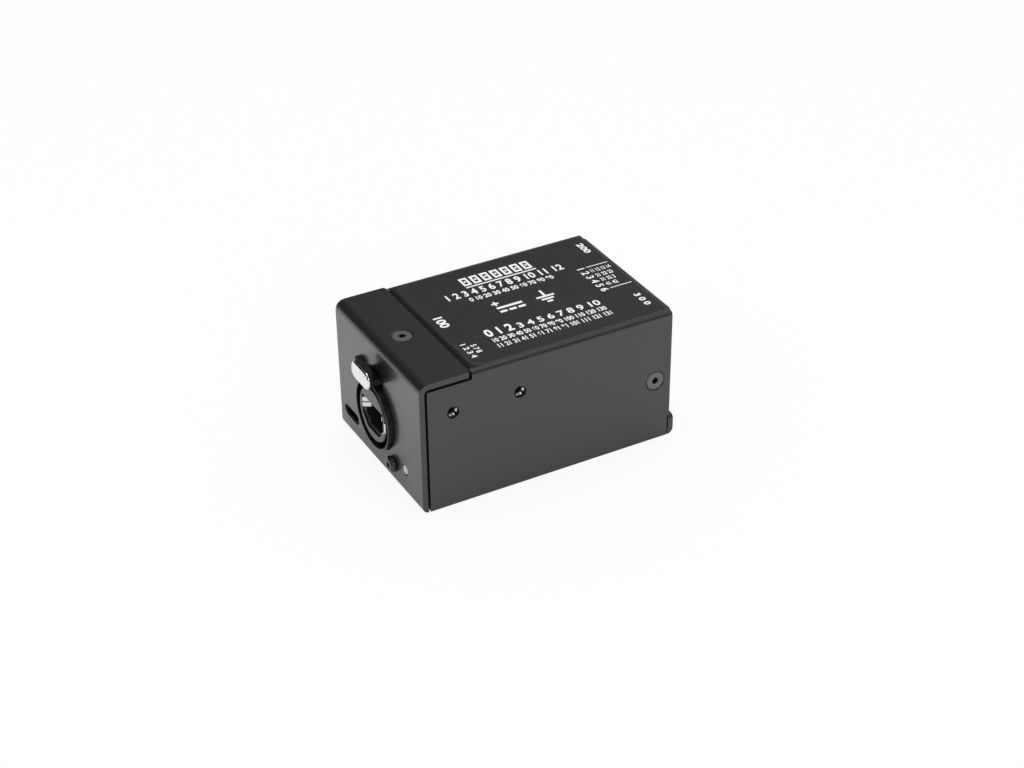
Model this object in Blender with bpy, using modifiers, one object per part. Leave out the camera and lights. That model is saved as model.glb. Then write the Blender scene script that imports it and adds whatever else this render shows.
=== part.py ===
"""Network to LED pixel interface in a two-part folded steel case, with its connectors and board.

Frame: +Z up, origin at the centre of the case's underside, network socket on the -Y face.
All sizes below are in millimetres and are scaled to metres when a mesh is made.
"""

import math

import bmesh
import bpy
from mathutils import Vector

MM = 0.001
GAP = 0.3
PAST = 2.0
THROUGH = 8.0

# Case
CASE_W = 57.0
CASE_H = 45.0
FRONT_Y = -44.0
LIP_Y = 44.4
BASE_T = 1.8
COVER_T = 1.2
FRONT_BEND = 3.1
FOOT_BEND = 2.0
COVER_BEND = 1.6
LIP_H = 6.9
SEAM_Y = -27.0
SIDE_FRONT_Y = -41.4
SIDE_REAR_Y = 42.8
SIDE_TOP_Z = 42.2
REAR_FOLD_W = 49.6
SEAM_FOLD_W = 52.8
SEAM_CREST_Y = SEAM_Y + 0.9
SEAM_FOOT_Y = SEAM_Y + 0.3
SEAM_BEND = 2.0
SEAM_BACK_Y = SEAM_Y + 2.6
FOLD_TOP_Z = CASE_H - 0.05
REAR_WALL_W = 51.2
RELIEF_Z = 42.2
REAR_WALL_Y = 44.2
REAR_WALL_Z = 7.4
TAB_Z = CASE_H - BASE_T - 0.35
TAB_END_Y = -38.5
HALF_W = CASE_W / 2

# Case fasteners; a nut is its outer radius, bore radius and length,
# and a pan head screw its head radius, head height, shank radius and length
STRIP_SCREW_AT = (0.0, -35.1)
SIDE_SCREW_AT = (37.35, 21.5)
EAR_X = 26.7
EAR_T = 1.7
EAR_Y = (33.0, 42.3)
EAR_H = 40.0
MOUNT_NUT_Y = (-33.0, -10.5)
MOUNT_NUT_Z = 32.9
M3_SHANK = 1.5
M3_HOLE = 1.9
M3_HEAD = 3.05
M3_SINK = 3.5
M3_LENGTH = 7.0
CLINCH_HOLE = 2.1
M3_THREAD = 1.25
M3_SOCKET = (1.2, 1.3)
PAN_SOCKET = (1.0, 1.0)
HEAD_SUNK = 0.1
STRIP_NUT = (3.2, 1.8, 3.0)
EAR_NUT = (3.0, 1.8, 2.6)
MOUNT_NUT = (3.15, M3_THREAD, 3.2)
CONNECTOR_PAN = (2.7, 1.6, 1.4, 5.2)
BOARD_PAN = (2.4, 1.5, 1.2, 3.6)

# Locking network connector
PLUG_X = -1.1
PLUG_Z = 19.3
COLLAR_R = 11.4
COLLAR_BORE = 10.9
COLLAR_OUT = 1.9
COLLAR_L = 4.9
COLLAR_LIP = (0.6, 0.3)
COLLAR_EDGE = 0.25
INSERT_R = 9.0
FLANGE_W = 26.0
FLANGE_H = 31.0
FLANGE_T = 2.0
HOUSING_W = 24.0
HOUSING_REAR_Y = -17.0
BORE_END_Y = -29.0
INSERT_REAR_Y = -30.0
JACK_W = 14.6
JACK_TOP = 3.9
JACK_BOTTOM = -6.2
JACK_CHAMFER = 3.5
SHIELD_T = 0.4
CONNECTOR_SCREW = (9.95, 12.6)
BLOCK_FRONT_Y = -32.0
BLOCK_LOW = -2.4
CONTACTS = 8
CONTACT_PITCH = 1.27
CONTACT_TIP_Y = -42.0
CONTACT_BAR_Y = (-33.2, -32.3)
CONTACT_BAR_Z = (1.2, 2.4)
CONTACT_BAR_W = 10.4
CONTACT_W = 0.5
CONTACT_Z = (1.6, 2.0)
JACK_WELL_W = 16.0
JACK_WELL_Z = (-7.4, 5.4)

# Push lever of the connector
CAP_W = 11.9
CAP_Z = (31.5, 37.5)
CAP_Y = -49.4
CAP_T = 1.1
CAP_CORNER = 2.75
CAP_EDGE = 0.4
PAD_W = 10.6
PAD_Z = (33.4, 38.7)
PAD_T = 1.0
PAD_CORNER = 2.2
STEM_W = 8.8
STEM_Z = (32.2, 34.2)
PIVOT_Y = -27.8
PIVOT_Z = 33.2
NOTCH_W = 10.0
NOTCH_TOP = 34.9
KNUCKLE_R = 1.7
PIN_R = 0.6
PIN_HOLE_R = 0.9
PIN_LENGTH = 14.0
CHANNEL_ROOM = 0.7

# Board and what stands on it
BOARD_TOP = 5.75
BOARD_T = 1.6
BOARD_W = 48.4
BOARD_Y = (-38.9, 39.5)
STANDOFF_X = 21.5
STANDOFF_Y = (-29.0, 25.0)
STANDOFF_R = (2.6, 1.55)
PART_Z = BOARD_TOP + GAP

# Sockets and lamps in the end walls
USB_X = -20.5
USB_Z = 7.75
USB_SIZE = (8.94, 3.26)
USB_HOLE = (10.3, 3.9)
USB_WALL = 0.3
USB_DEPTH = 7.6
USB_TONGUE = (6.6, 0.7)
LAMP_R = 1.6
FRONT_LAMP = (17.1, 9.3)
REAR_LAMP = (-19.1, 11.5)
TERMINAL_X = -0.5
TERMINAL_POLES = 4
TERMINAL_PITCH = 3.5
TERMINAL_H = 11.0
TERMINAL_Y = (32.0, 42.3)
TERMINAL_EDGE = 0.7
TERMINAL_SCREW_Z = PART_Z + 8.0
TERMINAL_SCREW_R = 1.3
TERMINAL_SCREW_L = 6.5
TERMINAL_HEAD_T = 2.0
TERMINAL_SUNK = 0.8
TERMINAL_SHANK_R = 0.9
TERMINAL_SLIT_W = 0.5
WIRE_ENTRY_W = 2.6
WIRE_ENTRY_Z = (PART_Z + 1.4, PART_Z + 4.6)
POWER_X = 17.6
POWER_Z = 12.2
POWER_BORE = 3.15
POWER_W = 9.0
POWER_FRONT_Y = 30.5
POWER_BORE_Y = 33.5
POWER_NOSE_R = 4.4
POWER_NOSE_L = 6.0
POWER_PIN = (1.0, 8.6)
CAPACITOR = (4.0, 10.5)
CAPACITOR_X = 15.0
CAPACITOR_Y = (-1.5, 22.5)
CRYSTAL = (10.8, 3.8, 4.6)
CRYSTAL_AT = (-14.0, 13.0)
LAMP_L = 4.0
LAMP_HOLDER = (4.4, 4.3, 9.0)

WAYS = {
    "up": (0, 0, 0),
    "down": (math.pi, 0, 0),
    "front": (math.pi / 2, 0, 0),
    "rear": (-math.pi / 2, 0, 0),
    "right": (0, math.pi / 2, 0),
    "left": (0, -math.pi / 2, 0),
}


def clear_scene():
    for obj in list(bpy.data.objects):
        bpy.data.objects.remove(obj, do_unlink=True)


def new_collection(name):
    made = bpy.data.collections.new(name)
    bpy.context.scene.collection.children.link(made)
    return made


def material(name, colour, roughness, metallic=0.0):
    made = bpy.data.materials.new(name)
    made.use_nodes = True
    shader = made.node_tree.nodes["Principled BSDF"]
    shader.inputs["Base Color"].default_value = (*colour, 1.0)
    shader.inputs["Roughness"].default_value = roughness
    shader.inputs["Metallic"].default_value = metallic
    made.diffuse_color = (*colour, 1.0)
    return made


def as_object(name, bm, mat, at=(0, 0, 0), way="up"):
    """An object from a mesh in millimetres, its origin at the given place and its +Z along the given way."""
    bmesh.ops.scale(bm, vec=(MM, MM, MM), verts=bm.verts)
    mesh = bpy.data.meshes.new(name)
    bm.to_mesh(mesh)
    bm.free()
    obj = bpy.data.objects.new(name, mesh)
    obj.location = Vector(at) * MM
    obj.rotation_euler = WAYS[way]
    if mat is not None:
        mesh.materials.append(mat)
    PARTS.objects.link(obj)
    return obj


def round_edges(obj, width, segments=2):
    bevel = obj.modifiers.new("Round", "BEVEL")
    bevel.width = width * MM
    bevel.segments = segments
    bevel.limit_method = "ANGLE"
    return obj


def smooth(obj):
    obj.data.shade_smooth()
    obj.data.set_sharp_from_angle(angle=math.radians(35))
    return obj


def block(name, low, high, mat, edge=0.0):
    """A box between two corners."""
    bm = bmesh.new()
    bmesh.ops.create_cube(bm, size=1.0)
    size = [b - a for a, b in zip(low, high)]
    bmesh.ops.scale(bm, vec=size, verts=bm.verts)
    middle = [(a + b) / 2 for a, b in zip(low, high)]
    obj = as_object(name, bm, mat, middle)
    return round_edges(obj, edge) if edge else obj


def rod(name, radius, length, at, way, mat, sides=32):
    """A cylinder that starts at a point and runs along a way."""
    bm = bmesh.new()
    bmesh.ops.create_cone(
        bm, cap_ends=True, segments=sides, radius1=radius, radius2=radius, depth=length
    )
    bmesh.ops.translate(bm, vec=(0, 0, length / 2), verts=bm.verts)
    return smooth(as_object(name, bm, mat, at, way))


def turned(name, profile, at, way, mat, steps=32):
    """A turned piece: the profile of (radius, height) runs down its outer side."""
    bm = bmesh.new()
    points = [bm.verts.new((r, 0, h)) for r, h in profile]
    closed = profile[0][0] > 0
    pairs = list(zip(points, points[1:]))
    if closed:
        pairs.append((points[-1], points[0]))
    for first, second in pairs:
        bm.edges.new((first, second))
    obj = as_object(name, bm, mat, at, way)
    screw = obj.modifiers.new("Turn", "SCREW")
    screw.steps = steps
    screw.render_steps = steps
    screw.use_merge_vertices = True
    screw.merge_threshold = 0.00001
    screw.use_smooth_shade = True
    return obj


def rounded_path(corners, steps=4):
    """A path through (u, v, radius) corners, with an arc of that radius at each inner one."""
    path = [corners[0][:2]]
    for before, (u, v, radius), after in zip(corners, corners[1:], corners[2:]):
        here = Vector((u, v))
        back = (Vector(before[:2]) - here).normalized()
        ahead = (Vector(after[:2]) - here).normalized()
        half = back.angle(ahead) / 2
        centre = here + (back + ahead).normalized() * radius / math.sin(half)
        start = here + back * radius / math.tan(half) - centre
        end = here + ahead * radius / math.tan(half) - centre
        sweep = start.angle_signed(end)
        for i in range(steps + 1):
            turn = -sweep * i / steps
            arm = Vector(
                (
                    start.x * math.cos(turn) - start.y * math.sin(turn),
                    start.x * math.sin(turn) + start.y * math.cos(turn),
                )
            )
            path.append(tuple(centre + arm))
    path.append(corners[-1][:2])
    return path


def folded(name, corners, along, span, thickness, mat):
    """A folded sheet: its outer face follows the corners and runs along X or Y over the span."""
    bm = bmesh.new()
    rows = []
    for place in span:
        rows.append(
            [
                bm.verts.new((place, u, v) if along == "X" else (u, place, v))
                for u, v in rounded_path(corners)
            ]
        )
    near, far = rows
    for i in range(len(near) - 1):
        bm.faces.new((near[i], near[i + 1], far[i + 1], far[i]))
    obj = as_object(name, bm, mat)
    solid = obj.modifiers.new("Sheet", "SOLIDIFY")
    solid.thickness = thickness * MM
    solid.offset = -1.0
    solid.use_even_offset = True
    return obj


def outline_bar(name, outline, y_span, mat):
    """A bar along Y whose section is an (x, z) outline."""
    bm = bmesh.new()
    face = bm.faces.new([bm.verts.new((x, y_span[0], z)) for x, z in outline])
    grown = bmesh.ops.extrude_face_region(bm, geom=[face])
    moved = [v for v in grown["geom"] if isinstance(v, bmesh.types.BMVert)]
    bmesh.ops.translate(bm, vec=(0, y_span[1] - y_span[0], 0), verts=moved)
    bmesh.ops.recalc_face_normals(bm, faces=bm.faces)
    return as_object(name, bm, mat)


def slot_outline(x, z, width, height, steps=6):
    """A slot with round ends."""
    radius = height / 2
    reach = width / 2 - radius
    points = []
    for side, start in ((1, -90), (-1, 90)):
        for i in range(steps + 1):
            angle = math.radians(start + 180 * i / steps)
            points.append((x + side * reach + radius * math.cos(angle), z + radius * math.sin(angle)))
    return points


def pad_outline(x, z_span, width, radius, steps=5):
    """A rectangle with round corners."""
    points = []
    middle = sum(z_span) / 2
    reach_x = width / 2 - radius
    reach_z = (z_span[1] - z_span[0]) / 2 - radius
    for quarter, (sx, sz) in enumerate(((1, 1), (-1, 1), (-1, -1), (1, -1))):
        for i in range(steps + 1):
            angle = math.radians(90 * (quarter + i / steps))
            points.append(
                (
                    x + sx * reach_x + radius * math.cos(angle),
                    middle + sz * reach_z + radius * math.sin(angle),
                )
            )
    return points


def combine(target, tool, operation):
    """Boolean of a target with a tool, which is kept aside as a wire."""
    step = target.modifiers.new(tool.name, "BOOLEAN")
    step.operation = operation
    step.solver = "EXACT"
    step.object = tool
    if tool.name in PARTS.objects:
        PARTS.objects.unlink(tool)
        CUTTERS.objects.link(tool)
    tool.hide_render = True
    tool.display_type = "WIRE"
    return target


def cut(target, *tools):
    for tool in tools:
        combine(target, tool, "DIFFERENCE")
    return target


def join(target, *tools):
    for tool in tools:
        combine(target, tool, "UNION")
    return target


def hole(name, radius, at, way, sides=24):
    """A cutter for a round hole through the sheet at a point."""
    start = Vector(at) - axis_of(way) * THROUGH / 2
    return rod(name, radius, THROUGH, start, way, None, sides)


def corner_tool(name, low, high, radius, at, way):
    """What rounds a sheet's corner: a box less a cylinder at the rounding's centre."""
    box = block(name, low, high, None)
    core = rod(name + "_core", radius, 20.0, at, way, None, sides=24)
    return cut(box, core)


def sink_tool(name, at, way):
    """A countersunk clearance hole for an M3 screw, its mouth just outside the sheet."""
    mouth = M3_SINK + 0.5
    profile = [(0, 0.5), (mouth, 0.5), (M3_HOLE, 0.5 - mouth + M3_HOLE), (M3_HOLE, -6), (0, -6)]
    return turned(name, profile, at, way, None)


def socket_tool(name, top, way, radius, depth):
    """A hexagon socket in a screw's head, below the given top."""
    start = Vector(top) - depth * axis_of(way)
    return rod(name + "_socket", radius, depth + PAST, start, way, None, sides=6)


def countersunk_screw(name, at, way):
    profile = [
        (0, 0),
        (M3_HEAD, 0),
        (M3_HEAD, -0.2),
        (M3_SHANK, -0.2 - M3_HEAD + M3_SHANK),
        (M3_SHANK, -M3_LENGTH + 0.4),
        (M3_SHANK - 0.4, -M3_LENGTH),
        (0, -M3_LENGTH),
    ]
    screw = turned(name, profile, at, way, BLACK_SCREW, steps=24)
    return cut(screw, socket_tool(name, at, way, *M3_SOCKET))


def pan_screw(name, at, way, head, height, shank, length, mat):
    """A pan head screw whose head stands on the given point."""
    profile = [
        (0, height),
        (head - 0.6, height),
        (head - 0.15, height - 0.45),
        (head, 0),
        (shank, 0),
        (shank, -length),
        (0, -length),
    ]
    screw = turned(name, profile, at, way, mat, steps=24)
    top = Vector(at) + height * axis_of(way)
    return cut(screw, socket_tool(name, top, way, *PAN_SOCKET))


def axis_of(way):
    return {
        "up": Vector((0, 0, 1)),
        "down": Vector((0, 0, -1)),
        "front": Vector((0, -1, 0)),
        "rear": Vector((0, 1, 0)),
        "right": Vector((1, 0, 0)),
        "left": Vector((-1, 0, 0)),
    }[way]


def nut(name, at, way, outer, bore, length):
    """A clinch nut: a turned ring behind a sheet."""
    profile = [(outer - 0.4, 0), (outer, -0.4), (outer, -length), (bore, -length), (bore, 0)]
    return turned(name, profile, at, way, ZINC, steps=24)


def chassis():
    corners = [
        (SEAM_Y, CASE_H),
        (FRONT_Y, CASE_H, FRONT_BEND),
        (FRONT_Y, 0.0, FOOT_BEND),
        (LIP_Y, 0.0, FOOT_BEND),
        (LIP_Y, LIP_H),
    ]
    base = folded("base_chassis", corners, "X", (-HALF_W, HALF_W), BASE_T, PAINT)
    inner = HALF_W - COVER_T - GAP
    for side, word in ((1, "right"), (-1, "left")):
        xs = sorted((side * inner, side * (HALF_W + PAST)))
        cut(
            base,
            block(
                f"floor_notch_{word}",
                (xs[0], FRONT_Y + FOOT_BEND, -PAST),
                (xs[1], LIP_Y - FOOT_BEND, EAR_H),
                None,
            ),
        )
        strip_x = sorted((side * (HALF_W - 1.0), side * (HALF_W + 1)))
        cut(
            base,
            corner_tool(
                f"strip_corner_{word}",
                (strip_x[0], SEAM_Y - 1.0, CASE_H - 5),
                (strip_x[1], SEAM_Y + 1.0, CASE_H + 5),
                1.0,
                (side * (HALF_W - 1.0), SEAM_Y - 1.0, CASE_H - 10),
                "up",
            ),
            corner_tool(
                f"lip_corner_{word}",
                (strip_x[0] - 0.5, LIP_Y - 3, LIP_H - 1.5),
                (strip_x[1] + 0.5, LIP_Y + 3, LIP_H + 1),
                1.5,
                (side * (HALF_W - 1.5), LIP_Y - 10, LIP_H - 1.5),
                "rear",
            ),
        )
        ear_path = [(side * EAR_X, EAR_H), (side * EAR_X, 0.05, FOOT_BEND), (side * 16.0, 0.05)]
        if side < 0:
            ear_path.reverse()
        ear = folded(f"ear_{word}", ear_path, "Y", EAR_Y, EAR_T, None)
        join(base, ear)
        cut(
            base,
            hole(f"ear_hole_{word}", M3_HOLE, (side * EAR_X, *SIDE_SCREW_AT), word),
        )
    cut(
        base,
        sink_tool("strip_sink", (*STRIP_SCREW_AT, CASE_H), "up"),
        hole("collar_hole", COLLAR_R + GAP + 0.05, (PLUG_X, FRONT_Y, PLUG_Z), "front", 64),
        round_edges(
            block(
                "lever_notch",
                (PLUG_X - NOTCH_W / 2, FRONT_Y - PAST, PLUG_Z + COLLAR_R / 2),
                (PLUG_X + NOTCH_W / 2, FRONT_Y + BASE_T + PAST, NOTCH_TOP),
                None,
            ),
            1.0,
        ),
        outline_bar(
            "usb_hole",
            slot_outline(USB_X, USB_Z, *USB_HOLE),
            (FRONT_Y - PAST, FRONT_Y + BASE_T + PAST),
            None,
        ),
        hole("front_lamp_hole", LAMP_R + GAP, (FRONT_LAMP[0], FRONT_Y, FRONT_LAMP[1]), "front"),
    )
    for sign, word in ((1, "lower"), (-1, "upper")):
        at = (PLUG_X + sign * CONNECTOR_SCREW[0], FRONT_Y, PLUG_Z - sign * CONNECTOR_SCREW[1])
        cut(base, hole(f"connector_hole_{word}", M3_HOLE, at, "front"))
    return base


def case_cover():
    hood = [
        (-HALF_W, 0.0),
        (-HALF_W, CASE_H, COVER_BEND),
        (HALF_W, CASE_H, COVER_BEND),
        (HALF_W, 0.0),
    ]
    cover = folded("cover", hood, "Y", (SIDE_FRONT_Y, SIDE_REAR_Y), COVER_T, PAINT)
    cut(
        cover,
        block(
            "strip_clearance",
            (-HALF_W - PAST, SIDE_FRONT_Y - PAST, SIDE_TOP_Z),
            (HALF_W + PAST, SEAM_Y + 0.5, CASE_H + PAST),
            None,
        ),
        block(
            "lip_clearance",
            (-HALF_W - PAST, LIP_Y - FOOT_BEND - GAP, -PAST),
            (HALF_W + PAST, LIP_Y + PAST, LIP_H + GAP),
            None,
        ),
        block(
            "seam_clearance",
            (-SEAM_FOLD_W / 2, SEAM_Y - PAST, CASE_H - 2 * COVER_T),
            (SEAM_FOLD_W / 2, SEAM_BACK_Y, CASE_H + PAST),
            None,
        ),
    )
    rear_fold = [
        (REAR_WALL_Y, REAR_WALL_Z),
        (REAR_WALL_Y, FOLD_TOP_Z, COVER_BEND),
        (0.0, FOLD_TOP_Z),
    ]
    seam_fold = [
        (0.0, FOLD_TOP_Z),
        (SEAM_CREST_Y, FOLD_TOP_Z, SEAM_BEND),
        (SEAM_FOOT_Y, TAB_Z, 0.6),
        (TAB_END_Y, TAB_Z),
    ]
    wall = block(
        "rear_wall",
        (-REAR_WALL_W / 2, REAR_WALL_Y - COVER_T + 0.13, REAR_WALL_Z + 0.05),
        (REAR_WALL_W / 2, REAR_WALL_Y - 0.03, RELIEF_Z),
        None,
    )
    for name, fold, width in (
        ("rear_fold", rear_fold, REAR_FOLD_W),
        ("seam_fold", seam_fold, SEAM_FOLD_W),
    ):
        join(cover, folded(name, fold, "X", (-width / 2, width / 2), COVER_T - 0.1, None))
    join(cover, wall)
    for side, word in ((1, "right"), (-1, "left")):
        cut(cover, sink_tool(f"side_sink_{word}", (side * HALF_W, *SIDE_SCREW_AT), word))
        for y, place in zip(MOUNT_NUT_Y, ("front", "rear")):
            at = (side * HALF_W, y, MOUNT_NUT_Z)
            cut(cover, hole(f"mount_hole_{place}_{word}", CLINCH_HOLE, at, word))
    reach = TERMINAL_POLES * TERMINAL_PITCH / 2 + TERMINAL_EDGE + 0.5
    cut(
        cover,
        hole("tab_hole", M3_HOLE, (*STRIP_SCREW_AT, TAB_Z), "up"),
        block(
            "terminal_window",
            (TERMINAL_X - reach, REAR_WALL_Y - COVER_T - PAST, PART_Z - 1),
            (TERMINAL_X + reach, REAR_WALL_Y + PAST, PART_Z + TERMINAL_H + GAP),
            None,
        ),
        hole("power_hole", POWER_NOSE_R + 0.4, (POWER_X, REAR_WALL_Y, POWER_Z), "rear", 40),
        hole("rear_lamp_hole", LAMP_R + GAP, (REAR_LAMP[0], REAR_WALL_Y, REAR_LAMP[1]), "rear"),
    )
    return cover


def case_fasteners():
    countersunk_screw("strip_screw", (*STRIP_SCREW_AT, CASE_H - HEAD_SUNK), "up")
    nut("strip_nut", (*STRIP_SCREW_AT, TAB_Z - COVER_T - GAP), "up", *STRIP_NUT)
    for side, word in ((1, "right"), (-1, "left")):
        at = (side * (HALF_W - HEAD_SUNK), *SIDE_SCREW_AT)
        countersunk_screw(f"side_screw_{word}", at, word)
        nut(f"ear_nut_{word}", (side * (EAR_X - EAR_T - GAP), *SIDE_SCREW_AT), word, *EAR_NUT)
        for y, place in zip(MOUNT_NUT_Y, ("front", "rear")):
            at = (side * (HALF_W - COVER_T - GAP), y, MOUNT_NUT_Z)
            nut(f"mount_nut_{place}_{word}", at, word, *MOUNT_NUT)


def jack_outline(inset):
    """The network socket's mouth, with its lower corners cut off, drawn in by the inset."""
    half = JACK_W / 2 - inset
    top = JACK_TOP - inset
    bottom = JACK_BOTTOM + inset
    chamfer = JACK_CHAMFER - inset * 0.6
    shape = [
        (-half, bottom + chamfer),
        (-half, top),
        (half, top),
        (half, bottom + chamfer),
        (half - chamfer, bottom),
        (-half + chamfer, bottom),
    ]
    return [(PLUG_X + x, PLUG_Z + z) for x, z in shape]


def connector_housing():
    flange_y = FRONT_Y + BASE_T + GAP
    collar_y = FRONT_Y - COLLAR_OUT
    body_y = flange_y + FLANGE_T
    housing = block(
        "connector_housing",
        (PLUG_X - FLANGE_W / 2, flange_y, PLUG_Z - FLANGE_H / 2),
        (PLUG_X + FLANGE_W / 2, body_y, PLUG_Z + FLANGE_H / 2),
        BLACK_PLASTIC,
    )
    lip_width, lip_depth = COLLAR_LIP
    collar_turn = [
        (COLLAR_R - COLLAR_EDGE, 0),
        (COLLAR_R, -COLLAR_EDGE),
        (COLLAR_R, -COLLAR_L),
        (COLLAR_BORE - lip_width, -COLLAR_L),
        (COLLAR_BORE - lip_width, -COLLAR_L + lip_depth),
        (COLLAR_BORE, -COLLAR_L + lip_depth),
        (COLLAR_BORE, 0),
    ]
    join(
        housing,
        block(
            "housing_body",
            (PLUG_X - HOUSING_W / 2, body_y - 0.5, PART_Z),
            (PLUG_X + HOUSING_W / 2, HOUSING_REAR_Y, PLUG_Z + FLANGE_H / 2 - 0.3),
            None,
        ),
    )
    bore = rod(
        "housing_bore",
        COLLAR_BORE,
        BORE_END_Y - flange_y + 4,
        (PLUG_X, BORE_END_Y, PLUG_Z),
        "front",
        None,
        48,
    )
    cut(housing, bore)
    join(housing, turned("collar", collar_turn, (PLUG_X, collar_y, PLUG_Z), "front", None, 64))
    channel = block(
        "lever_channel",
        (PLUG_X - STEM_W / 2 - CHANNEL_ROOM, flange_y - 3, STEM_Z[0] - 1.6),
        (PLUG_X + STEM_W / 2 + CHANNEL_ROOM, PIVOT_Y + 2.8, PLUG_Z + FLANGE_H / 2 + PAST),
        None,
    )
    pin_reach = PIN_LENGTH / 2 + GAP
    pin_start = (PLUG_X - pin_reach, PIVOT_Y, PIVOT_Z)
    pin_hole = rod("pin_hole", PIN_HOLE_R, 2 * pin_reach, pin_start, "right", None, 16)
    rear_well = block(
        "jack_well",
        (PLUG_X - JACK_WELL_W / 2, BORE_END_Y - 1, PLUG_Z + JACK_WELL_Z[0]),
        (PLUG_X + JACK_WELL_W / 2, HOUSING_REAR_Y - 1.5, PLUG_Z + JACK_WELL_Z[1]),
        None,
    )
    cut(housing, channel, pin_hole, rear_well)
    for sign, word in ((1, "lower"), (-1, "upper")):
        at = (PLUG_X + sign * CONNECTOR_SCREW[0], body_y, PLUG_Z - sign * CONNECTOR_SCREW[1])
        cut(housing, hole(f"flange_hole_{word}", CONNECTOR_PAN[2] + 0.35, at, "front", 20))
    return housing


def connector_inside():
    collar_y = FRONT_Y - COLLAR_OUT
    insert = turned(
        "connector_insert",
        [
            (0, 0),
            (INSERT_R - 0.3, 0),
            (INSERT_R, -0.3),
            (INSERT_R, collar_y - INSERT_REAR_Y),
            (0, collar_y - INSERT_REAR_Y),
        ],
        (PLUG_X, collar_y + 0.2, PLUG_Z),
        "front",
        BLACK_PLASTIC,
        48,
    )
    cut(
        insert,
        outline_bar("jack_mouth", jack_outline(0.0), (collar_y - 2, INSERT_REAR_Y + 3), None),
    )
    shield = outline_bar(
        "jack_shield", jack_outline(GAP), (collar_y + 1.0, HOUSING_REAR_Y - 2.2), BRIGHT_METAL
    )
    cut(
        shield,
        outline_bar(
            "shield_mouth",
            jack_outline(GAP + SHIELD_T),
            (collar_y - 2, HOUSING_REAR_Y - 2.2 - SHIELD_T),
            None,
        ),
    )
    inside = GAP + SHIELD_T + GAP
    block(
        "jack_block",
        (PLUG_X - JACK_W / 2 + inside, BLOCK_FRONT_Y, PLUG_Z + BLOCK_LOW),
        (PLUG_X + JACK_W / 2 - inside, HOUSING_REAR_Y - 2.9, PLUG_Z + JACK_TOP - inside),
        BLACK_PLASTIC,
    )
    contacts = block(
        "jack_contacts",
        (PLUG_X - CONTACT_BAR_W / 2, CONTACT_BAR_Y[0], PLUG_Z + CONTACT_BAR_Z[0]),
        (PLUG_X + CONTACT_BAR_W / 2, CONTACT_BAR_Y[1], PLUG_Z + CONTACT_BAR_Z[1]),
        GOLD,
    )
    for i in range(CONTACTS):
        x = PLUG_X + (i - (CONTACTS - 1) / 2) * CONTACT_PITCH
        finger = block(
            f"contact_{i + 1}",
            (x - CONTACT_W / 2, CONTACT_TIP_Y, PLUG_Z + CONTACT_Z[0]),
            (x + CONTACT_W / 2, CONTACT_BAR_Y[0] + 0.4, PLUG_Z + CONTACT_Z[1]),
            None,
        )
        join(contacts, finger)
    for sign, word in ((1, "lower"), (-1, "upper")):
        at = (
            PLUG_X + sign * CONNECTOR_SCREW[0],
            FRONT_Y - GAP,
            PLUG_Z - sign * CONNECTOR_SCREW[1],
        )
        pan_screw(f"connector_screw_{word}", at, "front", *CONNECTOR_PAN, BLACK_SCREW)


def push_lever():
    """The lever: an arm that turns on a pin inside the housing, and the chromed cap on its pad."""
    knuckle_start = (PLUG_X - STEM_W / 2, PIVOT_Y, PIVOT_Z)
    lever = rod("push_lever", KNUCKLE_R, STEM_W, knuckle_start, "right", BLACK_PLASTIC, 24)
    pad_y = CAP_Y + CAP_T + GAP
    stem = block(
        "lever_stem",
        (PLUG_X - STEM_W / 2 + 0.05, pad_y + PAD_T / 2, STEM_Z[0]),
        (PLUG_X + STEM_W / 2 - 0.05, PIVOT_Y, STEM_Z[1]),
        None,
    )
    pad = outline_bar(
        "lever_pad",
        pad_outline(PLUG_X, PAD_Z, PAD_W, PAD_CORNER),
        (pad_y, pad_y + PAD_T),
        None,
    )
    join(lever, stem, pad)
    pin_start = (PLUG_X - PIN_LENGTH / 2, PIVOT_Y, PIVOT_Z)
    cut(lever, rod("lever_bore", PIN_HOLE_R, PIN_LENGTH, pin_start, "right", None, 16))
    cap_shape = pad_outline(PLUG_X, CAP_Z, CAP_W, CAP_CORNER)
    round_edges(outline_bar("lever_cap", cap_shape, (CAP_Y, CAP_Y + CAP_T), CHROME), CAP_EDGE)
    rod("lever_pin", PIN_R, PIN_LENGTH, pin_start, "right", ZINC, 16)


def usb_socket():
    y_span = (FRONT_Y + GAP, FRONT_Y + USB_DEPTH)
    shell = outline_bar(
        "usb_shell", slot_outline(USB_X, USB_Z, *USB_SIZE), y_span, DARK_METAL
    )
    inner = [size - 2 * USB_WALL for size in USB_SIZE]
    width, thickness = USB_TONGUE
    cut(
        shell,
        outline_bar(
            "usb_mouth",
            slot_outline(USB_X, USB_Z, *inner),
            (FRONT_Y - PAST, FRONT_Y + USB_DEPTH - 0.6),
            None,
        ),
    )
    block(
        "usb_tongue",
        (USB_X - width / 2, FRONT_Y + 1.2, USB_Z - thickness / 2),
        (USB_X + width / 2, FRONT_Y + USB_DEPTH - 0.9, USB_Z + thickness / 2),
        BLACK_PLASTIC,
    )


def lamp(word, x, z, wall_y, way):
    """A round light pipe through an end wall, and the holder behind it."""
    inward = -axis_of(way).y
    profile = [(0, 0.3), (0.9, 0.2), (LAMP_R, -0.2), (LAMP_R, -LAMP_L), (0, -LAMP_L)]
    turned(f"{word}_lamp", profile, (x, wall_y, z), way, LENS, 24)
    width, near, far = LAMP_HOLDER
    ys = sorted((wall_y + inward * near, wall_y + inward * far))
    low = (x - width / 2, ys[0], PART_Z)
    block(f"{word}_lamp_holder", low, (x + width / 2, ys[1], z + width / 2), WHITE_PLASTIC)


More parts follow.
